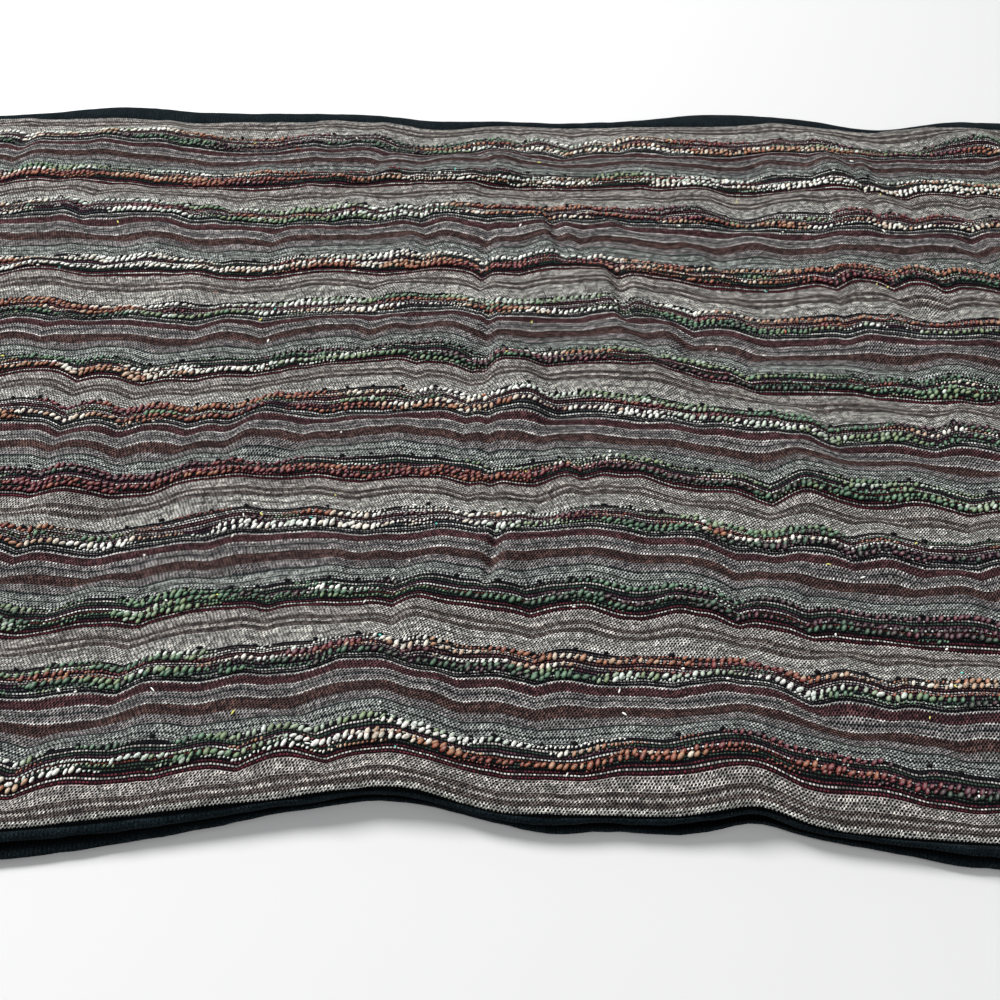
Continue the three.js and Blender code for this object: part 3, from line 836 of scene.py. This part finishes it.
def domeShape(sides):  # a round bead with its flat underside sunk in the cloth
    turns = np.arange(sides) * 2 * math.pi / sides
    rings = beads["rings"]
    points = [(r * math.cos(a), r * math.sin(a), z) for r, z in rings for a in turns]
    points += [(0.0, 0.0, 1.0), (0.0, 0.0, beads["under"])]
    top, under = len(points) - 2, len(points) - 1
    faces = []
    for ring in range(len(rings) - 1):
        for i in range(sides):
            a, b = ring * sides + i, ring * sides + (i + 1) % sides
            faces += [(a, b, b + sides), (a, b + sides, a + sides)]
    last = (len(rings) - 1) * sides
    for i in range(sides):
        faces += [(last + i, last + (i + 1) % sides, top), ((i + 1) % sides, i, under)]
    return np.array(points), np.array(faces)


dome, domeFaces = domeShape(beads["sides"])
domeRim = np.clip(1.05 - 0.95 * dome[:, 2], 0.05, 1)  # 1 at the rim, close to 0 at the top; it sets the beads' painted highlight and painted shade
nearBy = 0.5  # the cloth's slope under a lump is taken this far to each side of it


def lumps(name, s, v, sizes, lean, lift, yarnPlace, material):  # one mesh of lumps on the weave
    ahead, behind = clothPoint(s + nearBy, v, 0.0), clothPoint(s - nearBy, v, 0.0)
    past, before = clothPoint(s, v + nearBy, 0.0), clothPoint(s, v - nearBy, 0.0)
    alongDir = ahead - behind
    alongDir /= np.linalg.norm(alongDir, axis=1)[:, None]
    acrossDir = past - before
    up = np.cross(alongDir, acrossDir)
    up /= np.linalg.norm(up, axis=1)[:, None]
    acrossDir = np.cross(up, alongDir)
    centre = clothPoint(s, v, -bandRaise(v)) + up * lift[:, None]
    turn = np.radians(lean)[:, None]
    first = alongDir * np.cos(turn) - acrossDir * np.sin(turn)
    second = alongDir * np.sin(turn) + acrossDir * np.cos(turn)
    shape = (
        centre[:, None, :]
        + first[:, None, :] * (dome[None, :, 0] * sizes[:, None, 0])[..., None]
        + second[:, None, :] * (dome[None, :, 1] * sizes[:, None, 1])[..., None]
        + up[:, None, :] * (dome[None, :, 2] * sizes[:, None, 2])[..., None]
    )
    faces = (domeFaces[None] + (np.arange(len(s)) * len(dome))[:, None, None]).reshape(-1, 3)
    place = np.stack([np.repeat(yarnPlace, len(dome)), np.tile(domeRim, len(s))], -1)
    return makeMesh(name, shape, faces, place, material)


def yarnNoise(s, cell, seed, line=0.0):  # changes along the yarn alone
    return softNoise(s, line, cell, 1, seed)


def swellAt(s, fill, seed):  # 0 where the yarn is thin, 1 where it is fully swollen
    swell = 0.5 + 0.36 * yarnNoise(s, 26, seed) + 0.2 * yarnNoise(s, 9, seed + 5)
    return np.clip((swell - (0.8 - 0.75 * fill)) / 0.36, 0, 1)


def dyeAt(s, dye, turn, seed):  # place in the yarn's colours
    place = np.interp(s, dyePlaces, dye) + turn
    place = place + 0.12 * yarnNoise(s, 36, seed + 3) + 0.06 * yarnNoise(s, 9, seed + 4)
    return place + 0.3 * yarnNoise(s, 60, seed + 6) * ease((np.abs(s) - 150) / 80)


def slubBand(number, middle):
    rng = np.random.default_rng(beads["bandSeed"] + number)
    parts = []
    along, across = beads["stray"]
    reach = straight + beads["past"]
    for rowNumber, row in enumerate(slubRows[number % 2]):
        seed = beads["rowSeed"] + number * 10 + rowNumber
        for kind in (beads["thick"], beads["thin"]):
            s = np.arange(-reach, reach, kind["pitch"])
            s = s + rng.uniform(-along, along, len(s)) * kind["pitch"]
            swell = swellAt(s, row["fill"], seed)
            least, most = kind["swell"]
            keep = (swell >= least) & (swell < most)
            s, swell = s[keep], swell[keep]
            size = (0.66 + 0.34 * swell) * rng.uniform(*beads["sizeSpread"], len(s)) * kind["grow"]
            wander = 0.4 * yarnNoise(s, 22, seed + 2, number)
            v = middle + row["at"] + wander + rng.uniform(-across, across, len(s))
            sizes = [side * size * rng.uniform(*beads["sideSpread"], len(s)) for side in kind["half"]]
            yarnPlace = dyeAt(s, dyes[number][row["dye"]], row["turn"], seed)
            yarnPlace = yarnPlace + rng.normal(0, beads["dyeSpread"], len(s))
            lean = -beads["lean"] + rng.uniform(-beads["leanSpread"], beads["leanSpread"], len(s))
            parts.append((s, v, np.stack(sizes, -1), lean, np.zeros(len(s)), yarnPlace % 1))
    joined = [np.concatenate(values) for values in zip(*parts)]
    return lumps(f"slubBand{number + 1:02d}", *joined, slubFinish)


for number, middle in enumerate(bandMiddles):
    band = slubBand(number, middle)
    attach(band, "root")
print("slub bands:", len(bandMiddles))


# painted shade: black lumps along the back of each band, standing for shadowed gaps there, and stray
# flecks of other yarn

gapShadow = {
    "pitch": 11.0,
    "stray": 3.5,
    "share": 0.72,  # of the places that have one
    "back": 4.6,  # from the band's middle
    "backStray": (-0.4, 0.5),
    "sizes": ((0.8, 1.3), (0.55, 0.9), (0.5, 0.8)),
    "lean": 30.0,
    "seed": 91,
}
fleck = {
    "count": 260,
    "nearBands": 0.6,  # share of them that lie by a band
    "spread": 4.0,  # of those, from the band's middle
    "fromEdge": 4.0,
    "length": (0.3, 1.1),
    "thickness": (0.2, 0.4),
    "lift": (0.1, 0.5),
    "seed": 92,
    "colours": [
        (0.0, (0.85, 0.84, 0.78)), (0.66, (0.66, 0.62, 0.16)),
        (0.84, (0.12, 0.55, 0.48)), (0.93, (0.4, 0.1, 0.05)),
    ],
}


def gapShadowMaterial():
    n = Nodes("gapShadowInk")
    # painted shade: plain black
    n.shader.inputs["Base Color"].default_value = ink
    n.shader.inputs["Roughness"].default_value = 0.95
    n.shader.inputs["Specular IOR Level"].default_value = 0.1
    return n.material


def fleckMaterial():
    n = Nodes("fleckYarn")
    hue = n.place()[0]
    n.feed(n.shader.inputs["Base Color"], n.ramp(hue, fleck["colours"]))
    n.shader.inputs["Roughness"].default_value = 0.9
    return n.material


# painted shade: black lumps where the cloth behind each band lies in shadowed gaps
def gapShadows():
    rng = np.random.default_rng(gapShadow["seed"])
    parts = []
    for middle in bandMiddles:
        s = np.arange(-straight, straight, gapShadow["pitch"])
        s = s + rng.uniform(-gapShadow["stray"], gapShadow["stray"], len(s))
        s = s[rng.uniform(0, 1, len(s)) < gapShadow["share"]]
        v = middle + gapShadow["back"] + rng.uniform(*gapShadow["backStray"], len(s))
        sizes = np.stack([rng.uniform(*span, len(s)) for span in gapShadow["sizes"]], -1)
        lean = rng.uniform(-gapShadow["lean"], gapShadow["lean"], len(s))
        parts.append((s, v, sizes, lean, np.zeros(len(s)), np.zeros(len(s))))
    joined = [np.concatenate(values) for values in zip(*parts)]
    return lumps("gapShadowLumps", *joined, gapShadowMaterial())


def flecks():
    rng = np.random.default_rng(fleck["seed"])
    count, low, high = fleck["count"], fleck["fromEdge"], cloth["width"] - fleck["fromEdge"]
    s = rng.uniform(-straight, straight, count)
    near = np.array(bandMiddles)[rng.integers(0, len(bandMiddles), count)]
    isNear = rng.uniform(0, 1, count) < fleck["nearBands"]
    near = near + rng.normal(0, fleck["spread"], count)
    v = np.clip(np.where(isNear, near, rng.uniform(low, high, count)), low - 1, high + 1)
    length = rng.uniform(*fleck["length"], count)
    thickness = rng.uniform(*fleck["thickness"], count)
    sizes = np.stack([length, thickness, thickness], -1)
    lean = rng.uniform(-90, 90, count)
    lift = rng.uniform(*fleck["lift"], count)
    hue = rng.uniform(0, 1, count)
    return lumps("yarnFlecks", s, v, sizes, lean, lift, hue, fleckMaterial())


for piece in (gapShadows(), flecks()):
    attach(piece, "root")
print("tufts and flecks added")


# floor, light and camera

studio = {
    "floor": (0.52, 0.52, 0.515),
    "floorSize": 12.0,  # metres
    "floorDrop": 0.0002,
    "keyLight": dict(place=(-1.2, 0.9, 1.15), size=0.6, power=70),
    "fillLight": dict(place=(1.0, -1.0, 1.6), size=1.4, power=17),
    "sky": (0.95, 0.97, 1.0),
    "skyStrength": 0.42,
    "camera": (0.0, -255.22, 283.0),
    "lookDown": 54.1,  # degrees below level
    "lens": 36.1,
}


def floorMaterial():
    n = Nodes("paleFloor")
    n.shader.inputs["Base Color"].default_value = (*studio["floor"], 1.0)
    n.shader.inputs["Roughness"].default_value = 0.9
    return n.material


bpy.ops.mesh.primitive_plane_add(size=studio["floorSize"], location=(0, 0, -studio["floorDrop"]))
floor = bpy.context.object
floor.name = "floor"
floor.data.materials.append(floorMaterial())


def areaLight(name, place, size, power):  # a soft round light aimed at the scarf's middle
    light = bpy.data.lights.new(name, "AREA")
    light.shape = "DISK"
    light.size = size
    light.energy = power
    lamp = bpy.data.objects.new(name, light)
    bpy.context.collection.objects.link(lamp)
    lamp.location = place
    lamp.rotation_euler = (-Vector(place)).to_track_quat("-Z", "Y").to_euler()


for name in ("keyLight", "fillLight"):
    areaLight(name, **studio[name])

bpy.context.scene.view_settings.view_transform = "Standard"

world = bpy.data.worlds.new("studio")
bpy.context.scene.world = world
world.use_nodes = True
background = world.node_tree.nodes["Background"]
background.inputs["Color"].default_value = (*studio["sky"], 1.0)
background.inputs["Strength"].default_value = studio["skyStrength"]

cameraData = bpy.data.cameras.new("camera")
cameraData.lens = studio["lens"]
cameraData.sensor_width = 36.0
cameraData.clip_start = 0.01
camera = bpy.data.objects.new("camera", cameraData)
bpy.context.collection.objects.link(camera)
camera.location = [value * toMetres for value in studio["camera"]]
camera.rotation_euler = (math.radians(90 - studio["lookDown"]), 0, 0)
bpy.context.scene.camera = camera
print("floor, lights and camera set")
